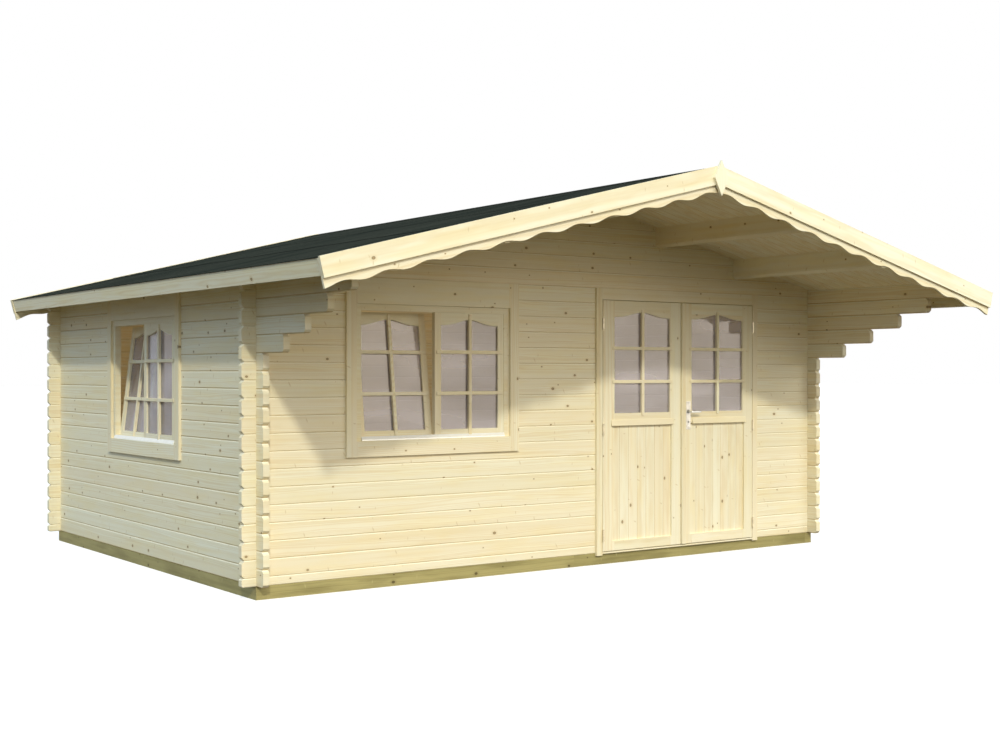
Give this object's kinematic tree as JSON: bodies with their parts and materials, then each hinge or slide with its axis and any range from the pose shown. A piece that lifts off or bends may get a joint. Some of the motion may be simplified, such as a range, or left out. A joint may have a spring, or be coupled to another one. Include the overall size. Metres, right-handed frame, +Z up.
{
  "type": "log cabin",
  "caption": "Timber cabin of interlocking planed logs with a glazed double door, arched-pane windows and a low felted roof that reaches forward on corbels as a porch.",
  "frame": {"origin": "ground level, in the middle of the walls' footprint, on the underside of the middle floor joist", "axes": "+X to the right seen from the front, the front gable with door and porch faces -Y, +Z up"},
  "size_m": [5.8964, 5.5564, 2.83],
  "materials": {
    "spruce_logs": "planed, untreated",
    "spruce_boards": "planed, untreated",
    "joinery": "planed and sanded",
    "treated_timber": "sawn, pressure treated",
    "roof_felt": "mineral surfaced",
    "glass": "clear",
    "steel": "satin",
    "white_metal": "satin"
  },
  "bodies": {
    "cabin": {"base_frame": "treated_timber", "floor_joists": "treated_timber", "floor_boards": "spruce_boards", "front_lower_logs": "spruce_logs", "front_corner_logs": "spruce_logs", "front_middle_logs": "spruce_logs", "front_right_logs": "spruce_logs", "front_upper_logs": "spruce_logs", "left_lower_logs": "spruce_logs", "left_front_logs": "spruce_logs", "left_rear_logs": "spruce_logs", "left_upper_logs": "spruce_logs", "right_wall_logs": "spruce_logs", "back_wall_logs": "spruce_logs", "back_gable_logs": "spruce_logs", "purlins": "spruce_boards", "roof_boards": "spruce_boards", "roof_felt": "roof_felt", "eave_boards": "spruce_boards", "front_bargeboards": "spruce_boards", "front_wave_boards": "spruce_boards", "front_finial": "spruce_boards", "back_bargeboards": "spruce_boards", "back_wave_boards": "spruce_boards", "back_finial": "spruce_boards", "door_frame": "joinery", "door_casing": "joinery", "hinge_pins": "steel", "front_window_frame": "joinery", "front_window_casing": "joinery", "front_window_sashes": "joinery", "front_window_glass": "glass", "left_window_frame": "joinery", "left_window_casing": "joinery", "left_window_sashes": "joinery", "left_window_glass": "glass", "window_sills": "white_metal"},
    "left_door": {"left_leaf": "joinery", "left_leaf_panel": "joinery", "left_leaf_glass": "glass", "left_leaf_hinges": "steel"},
    "right_door": {"right_leaf": "joinery", "right_leaf_panel": "joinery", "right_leaf_glass": "glass", "right_leaf_hinges": "steel", "cover_strip": "joinery", "lock_plates": "steel"},
    "lever": {"door_lever": "steel"}
  },
  "joints": [
    {"name": "left_door_swing", "type": "hinge", "parent": "cabin", "child": "left_door", "pos_m": [0.2625, -1.951, 0.098], "axis": [0, 0, -1], "range_deg": [0, 110]},
    {"name": "right_door_swing", "type": "hinge", "parent": "cabin", "child": "right_door", "pos_m": [1.8555, -1.951, 0.098], "axis": [0, 0, 1], "range_deg": [0, 110]},
    {"name": "lever_turn", "type": "hinge", "parent": "right_door", "child": "lever", "pos_m": [1.139, -1.943, 1.1375], "axis": [0, 1, 0], "range_deg": [0, 40], "stiffness_Nm_per_rad": 0.6, "springref_deg": -28.65}
  ]
}
